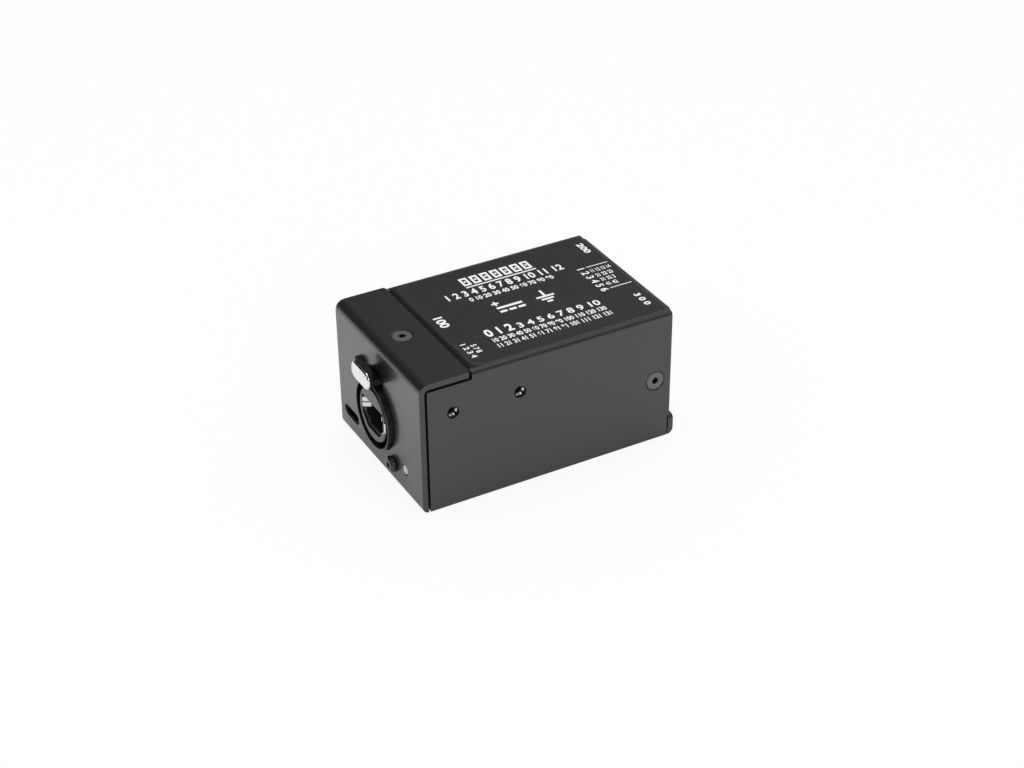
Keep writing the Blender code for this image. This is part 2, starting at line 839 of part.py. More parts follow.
def output_terminal():
    reach = TERMINAL_POLES * TERMINAL_PITCH / 2 + TERMINAL_EDGE
    body = block(
        "output_terminal",
        (TERMINAL_X - reach, TERMINAL_Y[0], PART_Z),
        (TERMINAL_X + reach, TERMINAL_Y[1], PART_Z + TERMINAL_H),
        GREEN_PLASTIC,
    )
    for i in range(TERMINAL_POLES):
        x = TERMINAL_X + (i - (TERMINAL_POLES - 1) / 2) * TERMINAL_PITCH
        entry = block(
            f"wire_entry_{i + 1}",
            (x - WIRE_ENTRY_W / 2, TERMINAL_Y[1] - 7.5, WIRE_ENTRY_Z[0]),
            (x + WIRE_ENTRY_W / 2, TERMINAL_Y[1] + PAST, WIRE_ENTRY_Z[1]),
            None,
        )
        well = rod(
            f"screw_well_{i + 1}",
            TERMINAL_SCREW_R + GAP,
            TERMINAL_SCREW_L + 2.5,
            (x, TERMINAL_Y[1] - TERMINAL_SCREW_L - 1.5, TERMINAL_SCREW_Z),
            "rear",
            None,
            20,
        )
        cut(body, entry, well)
        screw = turned(
            f"terminal_screw_{i + 1}",
            [
                (0, 0),
                (TERMINAL_SCREW_R, 0),
                (TERMINAL_SCREW_R, -TERMINAL_HEAD_T),
                (TERMINAL_SHANK_R, -TERMINAL_HEAD_T),
                (TERMINAL_SHANK_R, -TERMINAL_SCREW_L),
                (0, -TERMINAL_SCREW_L),
            ],
            (x, TERMINAL_Y[1] - TERMINAL_SUNK, TERMINAL_SCREW_Z),
            "rear",
            ZINC,
            20,
        )
        slit = block(
            f"screw_slit_{i + 1}",
            (x - PAST, TERMINAL_Y[1] - 2 * TERMINAL_SUNK, TERMINAL_SCREW_Z - TERMINAL_SLIT_W / 2),
            (x + PAST, TERMINAL_Y[1] + PAST, TERMINAL_SCREW_Z + TERMINAL_SLIT_W / 2),
            None,
        )
        cut(screw, slit)


def power_socket():
    body = block(
        "power_jack",
        (POWER_X - POWER_W / 2, POWER_FRONT_Y, PART_Z),
        (POWER_X + POWER_W / 2, TERMINAL_Y[1], POWER_Z + POWER_W / 2 + 0.1),
        BLACK_PLASTIC,
    )
    nose_at = (POWER_X, REAR_WALL_Y + 0.2 - POWER_NOSE_L, POWER_Z)
    nose = rod("power_nose", POWER_NOSE_R, POWER_NOSE_L, nose_at, "rear", None, 40)
    bore_length = REAR_WALL_Y + PAST - POWER_BORE_Y
    bore_start = (POWER_X, POWER_BORE_Y, POWER_Z)
    bore = rod("power_bore", POWER_BORE, bore_length, bore_start, "rear", None, 32)
    join(body, nose)
    cut(body, bore)
    radius, length = POWER_PIN
    turned(
        "power_pin",
        [(0, length), (radius * 0.7, length - 0.2), (radius, length - 0.7), (radius, 0), (0, 0)],
        (POWER_X, POWER_BORE_Y + GAP, POWER_Z),
        "rear",
        ZINC,
        20,
    )


def main_board():
    board = block(
        "main_board",
        (-BOARD_W / 2, BOARD_Y[0], BOARD_TOP - BOARD_T),
        (BOARD_W / 2, BOARD_Y[1], BOARD_TOP),
        BOARD_GREEN,
    )
    places = [(side, y) for y in STANDOFF_Y for side in (-1, 1)]
    outer, bore = STANDOFF_R
    for i, (side, y) in enumerate(places):
        x = side * STANDOFF_X
        low = BASE_T + GAP
        height = BOARD_TOP - BOARD_T - GAP - low
        cut(board, hole(f"board_hole_{i + 1}", bore, (x, y, BOARD_TOP), "up", 20))
        turned(
            f"standoff_{i + 1}",
            [(outer, height), (outer, 0), (bore, 0), (bore, height)],
            (x, y, low),
            "up",
            ZINC,
            24,
        )
        pan_screw(f"board_screw_{i + 1}", (x, y, PART_Z), "up", *BOARD_PAN, ZINC)


def board_parts():
    """The main parts on the board, each standing just clear of it."""
    flat_parts = [
        ("network_transformer", (0.0, -8.0), (16.0, 12.0, 6.0), BLACK_PLASTIC),
        ("network_chip", (-14.0, 5.0), (8.0, 8.0, 1.0), BLACK_PLASTIC),
        ("processor", (2.0, 9.0), (12.0, 12.0, 1.4), BLACK_PLASTIC),
        ("storage_chip", (-3.0, 22.0), (5.0, 6.0, 1.5), BLACK_PLASTIC),
        ("power_coil", (15.5, 11.5), (10.0, 10.0, 5.0), GREY_METAL),
        ("resettable_fuse", (6.5, 27.0), (8.0, 3.2, 8.0), YELLOW_PLASTIC),
        ("line_driver", (-14.0, 27.0), (5.0, 10.0, 1.5), BLACK_PLASTIC),
    ]
    for name, (x, y), (sx, sy, sz), mat in flat_parts:
        low = (x - sx / 2, y - sy / 2, PART_Z)
        block(name, low, (x + sx / 2, y + sy / 2, PART_Z + sz), mat)
    width, height, depth = CRYSTAL
    x, y = CRYSTAL_AT
    outline = slot_outline(x, PART_Z + height / 2, width, height)
    outline_bar("crystal", outline, (y, y + depth), BRIGHT_METAL)
    radius, height = CAPACITOR
    for word, y in zip(("front", "rear"), CAPACITOR_Y):
        turned(
            f"capacitor_{word}",
            [(0, height), (radius - 0.4, height), (radius, height - 0.4), (radius, 0), (0, 0)],
            (CAPACITOR_X, y, PART_Z),
            "up",
            GREY_METAL,
            24,
        )


clear_scene()
PARTS = new_collection("pixel_interface")
CUTTERS = new_collection("cutters")
PAINT = material("black_powder_coat", (0.022, 0.022, 0.024), 0.45)
BLACK_SCREW = material("black_oxide_screw", (0.06, 0.06, 0.065), 0.4, 0.8)
ZINC = material("zinc_plate", (0.62, 0.62, 0.6), 0.35, 1.0)
BRIGHT_METAL = material("nickel_shell", (0.75, 0.75, 0.74), 0.25, 1.0)
DARK_METAL = material("black_nickel", (0.05, 0.05, 0.052), 0.4, 1.0)
CHROME = material("satin_chrome", (0.8, 0.8, 0.82), 0.18, 1.0)
GOLD = material("gold_plate", (0.83, 0.62, 0.25), 0.3, 1.0)
BLACK_PLASTIC = material("black_nylon", (0.02, 0.02, 0.02), 0.5)
WHITE_PLASTIC = material("white_nylon", (0.75, 0.75, 0.73), 0.5)
YELLOW_PLASTIC = material("yellow_coating", (0.72, 0.5, 0.08), 0.45)
GREEN_PLASTIC = material("green_terminal", (0.03, 0.22, 0.08), 0.45)
BOARD_GREEN = material("board_green", (0.01, 0.1, 0.05), 0.4)
GREY_METAL = material("grey_can", (0.32, 0.32, 0.33), 0.4, 0.7)
LENS = material("clear_lens", (0.8, 0.82, 0.82), 0.2)

chassis()
case_cover()
case_fasteners()
connector_housing()
connector_inside()
push_lever()
usb_socket()
lamp("front", *FRONT_LAMP, FRONT_Y, "front")
lamp("rear", *REAR_LAMP, REAR_WALL_Y, "rear")
output_terminal()
power_socket()
main_board()
board_parts()
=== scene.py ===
import math

import bmesh
import bpy
from mathutils import Matrix, Vector


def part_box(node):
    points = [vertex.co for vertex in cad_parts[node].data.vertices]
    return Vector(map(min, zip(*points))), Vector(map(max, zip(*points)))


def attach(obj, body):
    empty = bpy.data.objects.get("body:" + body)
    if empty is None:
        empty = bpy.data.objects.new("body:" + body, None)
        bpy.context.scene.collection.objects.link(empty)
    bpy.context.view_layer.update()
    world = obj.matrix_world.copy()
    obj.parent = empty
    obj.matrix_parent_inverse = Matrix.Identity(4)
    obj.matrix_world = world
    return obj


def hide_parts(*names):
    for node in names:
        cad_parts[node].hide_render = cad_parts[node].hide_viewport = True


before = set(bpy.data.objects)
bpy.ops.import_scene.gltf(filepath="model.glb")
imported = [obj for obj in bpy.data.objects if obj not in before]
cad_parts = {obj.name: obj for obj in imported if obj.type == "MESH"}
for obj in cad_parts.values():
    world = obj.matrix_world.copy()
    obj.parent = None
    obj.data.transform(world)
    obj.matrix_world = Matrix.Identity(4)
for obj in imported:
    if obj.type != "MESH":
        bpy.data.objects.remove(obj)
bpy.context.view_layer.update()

MM = 0.001


# Folded steel case: a chassis that wraps the front, floor and top strip, and a hood over it.
# 1.2 and 1.8 mm sheet, bent on a press brake and finished in satin black powder coat.
def effect(name, inputs, outputs):
    """A node group that several finishes share, with its two ends."""
    tree = bpy.data.node_groups.new(name, "ShaderNodeTree")
    for label, value in inputs.items():
        made = tree.interface.new_socket(label, in_out="INPUT", socket_type="NodeSocketFloat")
        made.default_value = value
    for label in outputs:
        tree.interface.new_socket(label, in_out="OUTPUT", socket_type="NodeSocketFloat")
    return tree, tree.nodes.new("NodeGroupInput"), tree.nodes.new("NodeGroupOutput")


def sum_node(tree, operation, first, second):
    """A Math node between two sockets or numbers."""
    made = tree.nodes.new("ShaderNodeMath")
    made.operation = operation
    for socket, value in zip(made.inputs, (first, second)):
        if isinstance(value, bpy.types.NodeSocket):
            tree.links.new(value, socket)
        else:
            socket.default_value = value
    return made.outputs[0]


def noise_node(tree, scale, detail):
    """Noise on the piece's own coordinates, at a scale from a socket or a number."""
    made = tree.nodes.new("ShaderNodeTexNoise")
    made.inputs["Detail"].default_value = detail
    if isinstance(scale, bpy.types.NodeSocket):
        tree.links.new(scale, made.inputs["Scale"])
    else:
        made.inputs["Scale"].default_value = scale
    tree.links.new(tree.nodes.new("ShaderNodeTexCoord").outputs["Object"], made.inputs["Vector"])
    return made.outputs[0]


def orange_peel(finer=3.1, fine_share=0.3, patch_size=0.035):
    """The skin of a sprayed or moulded surface: low bumps with finer ones on them."""
    tree, start, end = effect("orange_peel", {"Scale": 2000.0}, ["Height", "Patch"])
    coarse = noise_node(tree, start.outputs["Scale"], 2.0)
    fine = noise_node(tree, sum_node(tree, "MULTIPLY", start.outputs["Scale"], finer), 1.0)
    both = sum_node(tree, "ADD", sum_node(tree, "MULTIPLY", coarse, 1 - fine_share),
                    sum_node(tree, "MULTIPLY", fine, fine_share))
    tree.links.new(both, end.inputs["Height"])
    patch = noise_node(tree, sum_node(tree, "MULTIPLY", start.outputs["Scale"], patch_size), 3.0)
    tree.links.new(patch, end.inputs["Patch"])
    return tree


def edge_wear(gain=6.0, break_up=700.0):
    """Where an edge is rubbed: the rounded normal leaves the true one, broken up by noise."""
    tree, start, end = effect("edge_wear", {"Width": 0.0002, "Amount": 1.0}, ["Mask"])
    bevel = tree.nodes.new("ShaderNodeBevel")
    bevel.samples = 6
    tree.links.new(start.outputs["Width"], bevel.inputs["Radius"])
    true = tree.nodes.new("ShaderNodeNewGeometry")
    dot = tree.nodes.new("ShaderNodeVectorMath")
    dot.operation = "DOT_PRODUCT"
    tree.links.new(bevel.outputs["Normal"], dot.inputs[0])
    tree.links.new(true.outputs["Normal"], dot.inputs[1])
    bend = sum_node(tree, "MULTIPLY", sum_node(tree, "SUBTRACT", 1.0, dot.outputs["Value"]), gain)
    broken = sum_node(tree, "MULTIPLY", bend, noise_node(tree, break_up, 3.0))
    mask = sum_node(tree, "MULTIPLY", broken, start.outputs["Amount"])
    mask.node.use_clamp = True
    tree.links.new(mask, end.inputs["Mask"])
    return tree


def settled_dust(break_up=220.0):
    """A thin veil of dust on faces that look up."""
    tree, start, end = effect("settled_dust", {"Amount": 0.05}, ["Mask"])
    split = tree.nodes.new("ShaderNodeSeparateXYZ")
    tree.links.new(tree.nodes.new("ShaderNodeNewGeometry").outputs["Normal"], split.inputs[0])
    up = sum_node(tree, "MAXIMUM", split.outputs["Z"], 0.0)
    veil = sum_node(tree, "MULTIPLY", up, noise_node(tree, break_up, 5.0))
    mask = sum_node(tree, "MULTIPLY", veil, start.outputs["Amount"])
    mask.node.use_clamp = True
    tree.links.new(mask, end.inputs["Mask"])
    return tree


ORANGE_PEEL = orange_peel()
EDGE_WEAR = edge_wear()
SETTLED_DUST = settled_dust()
DUST_GREY = (0.35, 0.34, 0.33)


def finish(name, colour, roughness, metallic=0.0, peel=2000.0, relief=0.00002, rubbed=None, wear=0.35,
           wear_width=0.0002, dust=0.03, coat=0.0, coat_roughness=0.15, spread=0.1):
    """A finish with skin, rubbed edges, dust and patches of uneven gloss."""
    made = bpy.data.materials.new(name)
    made.use_nodes = True
    tree = made.node_tree
    shader = tree.nodes["Principled BSDF"]
    shader.inputs["Metallic"].default_value = metallic
    shader.inputs["Coat Weight"].default_value = coat
    shader.inputs["Coat Roughness"].default_value = coat_roughness
    groups = {}
    for word, group in (("skin", ORANGE_PEEL), ("wear", EDGE_WEAR), ("dust", SETTLED_DUST)):
        groups[word] = tree.nodes.new("ShaderNodeGroup")
        groups[word].node_tree = group
    groups["skin"].inputs["Scale"].default_value = peel
    groups["wear"].inputs["Width"].default_value = wear_width
    groups["wear"].inputs["Amount"].default_value = wear
    groups["dust"].inputs["Amount"].default_value = dust
    shade = colour
    rubbed = rubbed or [min(1.0, c * 2.5 + 0.03) for c in colour]
    for word, over in (("wear", rubbed), ("dust", DUST_GREY)):
        mix = tree.nodes.new("ShaderNodeMix")
        mix.data_type = "RGBA"
        tree.links.new(groups[word].outputs["Mask"], mix.inputs["Factor"])
        if isinstance(shade, bpy.types.NodeSocket):
            tree.links.new(shade, mix.inputs[6])
        else:
            mix.inputs[6].default_value = (*shade, 1.0)
        mix.inputs[7].default_value = (*over, 1.0)
        shade = mix.outputs[2]
    tree.links.new(shade, shader.inputs["Base Color"])
    patch = sum_node(tree, "SUBTRACT", groups["skin"].outputs["Patch"], 0.5)
    uneven = sum_node(tree, "ADD", sum_node(tree, "MULTIPLY", patch, spread), roughness)
    tree.links.new(uneven, shader.inputs["Roughness"])
    bump = tree.nodes.new("ShaderNodeBump")
    bump.inputs["Distance"].default_value = relief
    tree.links.new(groups["skin"].outputs["Height"], bump.inputs["Height"])
    tree.links.new(bump.outputs["Normal"], shader.inputs["Normal"])
    return made


def settle(obj, mat, body, slot, *nodes):
    """Gives a finished piece its finish and its body, and hides the nodes that it stands for; the slot is not
    used.
    """
    obj.data.materials.clear()
    obj.data.materials.append(mat)
    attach(obj, body)
    if nodes:
        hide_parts(*nodes)
    return obj


def smooth_below(mesh, degrees=32):
    """Shades a mesh round except at edges that bend by more than an angle."""
    mesh.shade_smooth()
    mesh.set_sharp_from_angle(angle=math.radians(degrees))


def plain(obj):
    """Applies what is still live on a piece, so that its mesh is the final one."""
    bpy.context.view_layer.update()
    seen = obj.evaluated_get(bpy.context.evaluated_depsgraph_get())
    mesh = bpy.data.meshes.new_from_object(seen)
    obj.modifiers.clear()
    obj.data = mesh
    return obj


def refined(name, node, mat, slot, edge=0.0, body="case", weld=0.002, flat_below=0.5, edge_above=40):
    """A node's own shape, its edges broken by a width in mm and its bends shaded round."""
    bm = bmesh.new()
    bm.from_mesh(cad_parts[node].data)
    bmesh.ops.remove_doubles(bm, verts=bm.verts, dist=weld * MM)
    bmesh.ops.dissolve_limit(bm, angle_limit=math.radians(flat_below), verts=bm.verts, edges=bm.edges)
    mesh = bpy.data.meshes.new(name)
    bm.to_mesh(mesh)
    bm.free()
    obj = bpy.data.objects.new(name, mesh)
    bpy.context.scene.collection.objects.link(obj)
    if edge:
        bevel = obj.modifiers.new("Edge", "BEVEL")
        bevel.width = edge * MM
        bevel.segments = 2
        bevel.limit_method = "ANGLE"
        bevel.angle_limit = math.radians(edge_above)
        plain(obj)
    smooth_below(obj.data)
    steady = obj.modifiers.new("Steady", "WEIGHTED_NORMAL")
    steady.keep_sharp = True
    steady.weight = 80
    plain(obj)
    return settle(obj, mat, body, slot, node)


POWDER_COAT = finish("satin_powder_coat", (0.0105, 0.0105, 0.0112), 0.38, peel=2300.0, relief=0.000018,
                     rubbed=(0.075, 0.075, 0.08), wear=0.30, dust=0.012, coat=0.55, coat_roughness=0.16,
                     spread=0.08)
DEBURRED = 0.12
refined("folded_chassis", "base_chassis", POWDER_COAT, "black_powder_coat", DEBURRED)
refined("folded_hood", "cover", POWDER_COAT, "black_powder_coat", DEBURRED)


# Case screws: M3 countersunk, cold-headed, with a broached hexagon socket and black oxide.
# One holds the top strip to the hood's tab, and one on each side holds the hood to an ear.
def skin(bm, rows, round_trip=False):
    """Faces between rows of corners that each close on themselves; a round trip joins last to first."""
    for near, far in zip(rows, rows[1:] + rows[:1] if round_trip else rows[1:]):
        for i in range(len(near)):
            j = (i + 1) % len(near)
            bm.faces.new((near[i], near[j], far[j], far[i]))


def ring_row(bm, radius, height, steps):
    """One ring of corners, in mm; a radius below zero makes a hexagon."""
    row = []
    for i in range(steps):
        angle = 2 * math.pi * i / steps
        reach = radius
        if radius < 0:
            reach = -radius * math.cos(math.pi / 6) / math.cos(angle % (math.pi / 3) - math.pi / 6)
        row.append(bm.verts.new((reach * math.cos(angle) * MM, reach * math.sin(angle) * MM, height * MM)))
    return row


def ring_stack(rings, steps=48):
    """A turned or broached solid from rings of (radius, height) in mm, closed at both ends."""
    bm = bmesh.new()
    rows = [ring_row(bm, radius, height, steps) for radius, height in rings]
    skin(bm, rows)
    for row, (_, height) in ((rows[0], rings[0]), (rows[-1], rings[-1])):
        centre = bm.verts.new((0, 0, height * MM))
        for i in range(steps):
            bm.faces.new((row[i], row[(i + 1) % steps], centre))
    bmesh.ops.recalc_face_normals(bm, faces=bm.faces)
    return bm


def loose_piece(name, bm, degrees=32):
    """A mesh as a piece of its own, not yet settled."""
    mesh = bpy.data.meshes.new(name)
    bm.to_mesh(mesh)
    bm.free()
    smooth_below(mesh, degrees)
    obj = bpy.data.objects.new(name, mesh)
    bpy.context.scene.collection.objects.link(obj)
    return obj


def setting_out_tree():
    """Stands copies of a piece on points, each turned as its point says."""
    tree = bpy.data.node_groups.new("setting_out", "GeometryNodeTree")
    face = tree.interface
    sockets = {"Geometry": "Geometry", "Piece": "Object", "Size": "Float", "Finish": "Material"}
    for label, kind in sockets.items():
        face.new_socket(label, in_out="INPUT", socket_type=f"NodeSocket{kind}")
    face.new_socket("Geometry", in_out="OUTPUT", socket_type="NodeSocketGeometry")
    start = tree.nodes.new("NodeGroupInput")
    end = tree.nodes.new("NodeGroupOutput")
    source = tree.nodes.new("GeometryNodeObjectInfo")
    turn = tree.nodes.new("GeometryNodeInputNamedAttribute")
    turn.data_type = "FLOAT_VECTOR"
    turn.inputs["Name"].default_value = "turn"
    euler = tree.nodes.new("FunctionNodeEulerToRotation")
    stand = tree.nodes.new("GeometryNodeInstanceOnPoints")
    real = tree.nodes.new("GeometryNodeRealizeInstances")
    coat = tree.nodes.new("GeometryNodeSetMaterial")
    link = tree.links.new
    link(start.outputs["Piece"], source.inputs["Object"])
    link(turn.outputs["Attribute"], euler.inputs[0])
    link(start.outputs["Geometry"], stand.inputs["Points"])
    link(source.outputs["Geometry"], stand.inputs["Instance"])
    link(euler.outputs[0], stand.inputs["Rotation"])
    link(start.outputs["Size"], stand.inputs["Scale"])
    link(stand.outputs["Instances"], real.inputs["Geometry"])
    link(real.outputs["Geometry"], coat.inputs["Geometry"])
    link(start.outputs["Finish"], coat.inputs["Material"])
    link(coat.outputs["Geometry"], end.inputs["Geometry"])
    return tree


SETTING_OUT = setting_out_tree()
# each way out of the case: its axis, its sign on that axis, and the turn that brings +Z there
WAYS = {
    "front": (1, -1, (math.pi / 2, 0, 0)),
    "rear": (1, 1, (-math.pi / 2, 0, 0)),
    "right": (0, 1, (0, math.pi / 2, 0)),
    "left": (0, -1, (0, -math.pi / 2, 0)),
    "up": (2, 1, (0, 0, 0)),
}


def corners(node):
    """The lowest and highest corner of a node's box, in mm."""
    low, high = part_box(node)
    return Vector(low) / MM, Vector(high) / MM


def face_centre(node, way, depth):
    """The middle of the face of a node's box that looks one way, or a point deeper, in mm."""
    axis, side, _ = WAYS[way]
    low, high = corners(node)
    place = (low + high) / 2
    place[axis] = (high if side > 0 else low)[axis] - side * depth
    return place


def set_out(name, piece, nodes, mat, slot, depth=0.0, stands_in=True):
    """Like pieces as one plain mesh, each at its node on the face that looks one way."""
    points = bpy.data.meshes.new(name)
    points.from_pydata([face_centre(node, way, depth) * MM for node, way in nodes.items()], [], [])
    turns = points.attributes.new("turn", "FLOAT_VECTOR", "POINT")
    for i, way in enumerate(nodes.values()):
        turns.data[i].vector = WAYS[way][2]
    obj = bpy.data.objects.new(name, points)
    bpy.context.scene.collection.objects.link(obj)
    step = obj.modifiers.new("Setting out", "NODES")
    step.node_group = SETTING_OUT
    values = {"Piece": piece, "Size": 1.0, "Finish": mat}
    for item in SETTING_OUT.interface.items_tree:
        if item.in_out == "INPUT" and item.name in values:
            step[item.identifier] = values[item.name]
    plain(obj)
    bpy.data.objects.remove(piece)
    return settle(obj, mat, "case", slot, *(nodes if stands_in else ()))


BLACK_OXIDE = finish("black_oxide", (0.115, 0.115, 0.12), 0.40, 0.35, peel=5200.0, relief=0.000006,
                     rubbed=(0.40, 0.39, 0.37), wear=0.8, wear_width=0.00012)
COUNTERSUNK = [(-0.5, -2.5), (-1.15, -2.0), (-1.2, -0.12), (-1.32, 0.0), (2.6, 0.0), (2.9, -0.05),
               (3.05, -0.22), (1.6, -1.72), (1.5, -6.6), (1.1, -7.0)]
case_screws = {"strip_screw": "up", "side_screw_right": "right", "side_screw_left": "left"}
set_out("case_screws", loose_piece("countersunk", ring_stack(COUNTERSUNK)), case_screws,
        BLACK_OXIDE, "black_oxide")
# painted shade: a near-black cup sits in each screw's socket and a near-black sleeve in each bracket nut's
# thread, standing for the shade in these recesses
PAINTED_SHADE_RECESS = finish("painted_shade_recess", (0.0012, 0.0012, 0.0013), 0.75, peel=5200.0, relief=0.000006,
                      rubbed=(0.01, 0.01, 0.01), wear=0.1, dust=0.0)
SOCKET_SHADE_CUP = [(-0.3, -2.38), (-1.08, -1.93), (-1.13, -0.16), (-1.17, -0.16), (-1.12, -1.98), (-0.3, -2.46)]
set_out("case_screw_sockets", loose_piece("socket_cup", ring_stack(SOCKET_SHADE_CUP)), case_screws,
        PAINTED_SHADE_RECESS, "black_oxide", stands_in=False)


# Clinch nuts: zinc-plated steel, pressed into the sheet from the inside.
# Two in each side take a bracket's screws; the others sit behind the case screws.
PITCH = 0.5
THREAD_DEPTH = 0.25
CHAMFER = 0.4
SHANK_WALL = 0.68
LEAD_IN = 0.5


def threaded_ring(outer, bore, length, shank=0.0):
    """A nut with its thread's crests and roots as rings; a shank reaches out into the sheet's hole."""
    root = bore + THREAD_DEPTH
    rings = [(bore + 0.05, -CHAMFER), (root, 0.0), (outer - CHAMFER, 0.0)]
    if shank:
        wall = bore + SHANK_WALL
        rings = [(bore + 0.02, shank - LEAD_IN), (wall - 0.1, shank), (wall, shank - 0.06), (wall, 0.0),
                 (outer - CHAMFER, 0.0)]
    rings += [(outer, -CHAMFER), (outer, -length), (root, -length)]
    for i in range(int(length / PITCH) - 1):
        low = -length + (i + 0.4) * PITCH
        rings += [(bore, low), (bore, low + PITCH * 0.15), (root, low + PITCH * 0.5)]
    bm = bmesh.new()
    skin(bm, [ring_row(bm, radius, height, 40) for radius, height in rings], round_trip=True)
    bmesh.ops.recalc_face_normals(bm, faces=bm.faces)
    return bm


ZINC = finish("zinc_plate", (0.56, 0.56, 0.55), 0.33, 1.0, peel=4200.0, relief=0.000006,
              rubbed=(0.7, 0.7, 0.68), wear=0.4)
# painted shade: a darker, smoother copy of the zinc plate for the bracket nuts, which are seen down the holes
# in the sides
SHADED_SMOOTH_ZINC = finish("shaded_smooth_zinc", (0.46, 0.46, 0.45), 0.15, 1.0, peel=4200.0, relief=0.000004,
                        rubbed=(0.6, 0.6, 0.58), wear=0.3, dust=0.0)
bracket_nuts = {f"mount_nut_{end}_{side}": side for side in ("right", "left") for end in ("front", "rear")}
bracket_nut = loose_piece("bracket_nut", threaded_ring(outer=3.15, bore=1.25, length=3.2, shank=0.45))
set_out("bracket_nuts", bracket_nut, bracket_nuts, SHADED_SMOOTH_ZINC, "zinc_plate")
# painted shade: a near-black threaded sleeve inside each bracket nut's bore darkens the thread where shade
# falls
bracket_thread = loose_piece("bracket_thread", threaded_ring(outer=1.95, bore=1.2, length=3.1))
set_out("bracket_threads", bracket_thread, bracket_nuts, PAINTED_SHADE_RECESS, "zinc_plate", stands_in=False)
set_out("ear_nuts", loose_piece("m3_nut", threaded_ring(outer=3.0, bore=1.8, length=2.6)),
        {"ear_nut_right": "right", "ear_nut_left": "left"}, ZINC, "zinc_plate")
set_out("tab_nut", loose_piece("m3_tab_nut", threaded_ring(outer=3.2, bore=1.8, length=3.0)),
        {"strip_nut": "up"}, ZINC, "zinc_plate")


# Locking network connector: a glass-filled nylon housing whose round collar comes out through the front,
# a round insert inside it, and the shielded socket in the middle. Two pan head screws hold its flange.
BLACK_NYLON = finish("moulded_black_nylon", (0.004, 0.004, 0.0042), 0.30, peel=3400.0, relief=0.000008,
                     rubbed=(0.07, 0.07, 0.07), wear=0.4, dust=0.01, coat=0.1, coat_roughness=0.12)
INSERT_NYLON = finish("insert_black_nylon", (0.012, 0.012, 0.0125), 0.30, peel=3600.0, relief=0.000012,
                      rubbed=(0.25, 0.25, 0.25), wear=0.8, dust=0.01, coat=0.22, coat_roughness=0.16)
# painted shade: a darker, duller copy of the black nylon, for the socket's cavity and the back of the lever's
# pad
SHADED_BLACK_NYLON = finish("shaded_black_nylon", (0.0015, 0.0015, 0.0016), 0.7, peel=3600.0, relief=0.000008,
                     rubbed=(0.02, 0.02, 0.02), wear=0.2, dust=0.0)
BRIGHT_NICKEL = finish("bright_nickel", (0.72, 0.71, 0.69), 0.20, 1.0, peel=3000.0, relief=0.000004,
                       rubbed=(0.85, 0.84, 0.82), wear=0.3, dust=0.0)
GOLD_FLASH = finish("gold_flash", (0.83, 0.62, 0.25), 0.24, 1.0, peel=3000.0, relief=0.000003,
                    rubbed=(0.9, 0.75, 0.4), wear=0.2, dust=0.0)
refined("collared_housing", "connector_housing", BLACK_NYLON, "black_nylon", 0.1)
refined("socket_insert", "connector_insert", INSERT_NYLON, "black_nylon", 0.15)
refined("socket_shield", "jack_shield", BRIGHT_NICKEL, "nickel_shell", 0.05)
refined("contact_carrier", "jack_block", BLACK_NYLON, "black_nylon", 0.15)
GLOSS_BLACK = finish("gloss_black_screw", (0.006, 0.006, 0.0063), 0.20, peel=5200.0, relief=0.000005,
                     rubbed=(0.30, 0.30, 0.29), wear=0.5, wear_width=0.00012, coat=0.25, coat_roughness=0.08)
HEAD_H = 1.6
PAN_HEAD = [(-0.95, 0.45), (-1.0, 1.5), (-1.12, HEAD_H), (1.7, HEAD_H), (2.2, 1.5), (2.5, 1.22), (2.66, 0.75),
            (2.7, 0.1), (2.62, 0.0), (1.4, 0.0), (1.4, -4.9), (1.1, -5.2)]
flange_screws = {"connector_screw_lower": "front", "connector_screw_upper": "front"}
set_out("connector_screws", loose_piece("pan_head", ring_stack(PAN_HEAD)), flange_screws,
        GLOSS_BLACK, "black_oxide", depth=HEAD_H)
# painted shade: a near-black cup in each pan head's socket stands for the shade in the recess
PAN_SHADE_CUP = [(-0.3, 0.52), (-0.87, 0.56), (-0.93, 1.44), (-0.97, 1.44), (-0.92, 0.5), (-0.3, 0.48)]
set_out("connector_screw_sockets", loose_piece("pan_cup", ring_stack(PAN_SHADE_CUP)), flange_screws,
        PAINTED_SHADE_RECESS, "black_oxide", depth=HEAD_H, stands_in=False)


def strip_along(name, path, width, thickness, across=(1, 0, 0)):
    """A flat spring strip that follows a path, in mm, and is wide along one axis."""
    bm = bmesh.new()
    side = Vector(across).normalized() * width / 2
    section = ((1, 1), (-1, 1), (-1, -1), (1, -1))
    rows = []
    for i, here in enumerate(path):
        ahead = Vector(path[min(i + 1, len(path) - 1)]) - Vector(path[max(i - 1, 0)])
        up = side.cross(ahead).normalized() * thickness / 2
        rows.append([bm.verts.new((Vector(here) + a * side + b * up) * MM) for a, b in section])
    skin(bm, rows)
    bm.faces.new(rows[0])
    bm.faces.new(list(reversed(rows[-1])))
    bmesh.ops.recalc_face_normals(bm, faces=bm.faces)
    return loose_piece(name, bm, 50)


def joined(name, objs):
    """Several meshes as one piece."""
    bm = bmesh.new()
    for obj in objs:
        bm.from_mesh(obj.data)
        bpy.data.objects.remove(obj)
    return loose_piece(name, bm, 50)


insert_low, insert_high = corners("connector_insert")
socket_x, _, socket_z = (insert_low + insert_high) / 2
insert_face = insert_low.y
# the liner's loops as (inset from the shield's outside, depth behind its edge)
LINER_LOOPS = [(0.42, 0.3), (0.62, 0.2), (0.68, 0.5), (0.68, 12.7), (0.42, 12.8)]
LOWER_CUT = 3.32


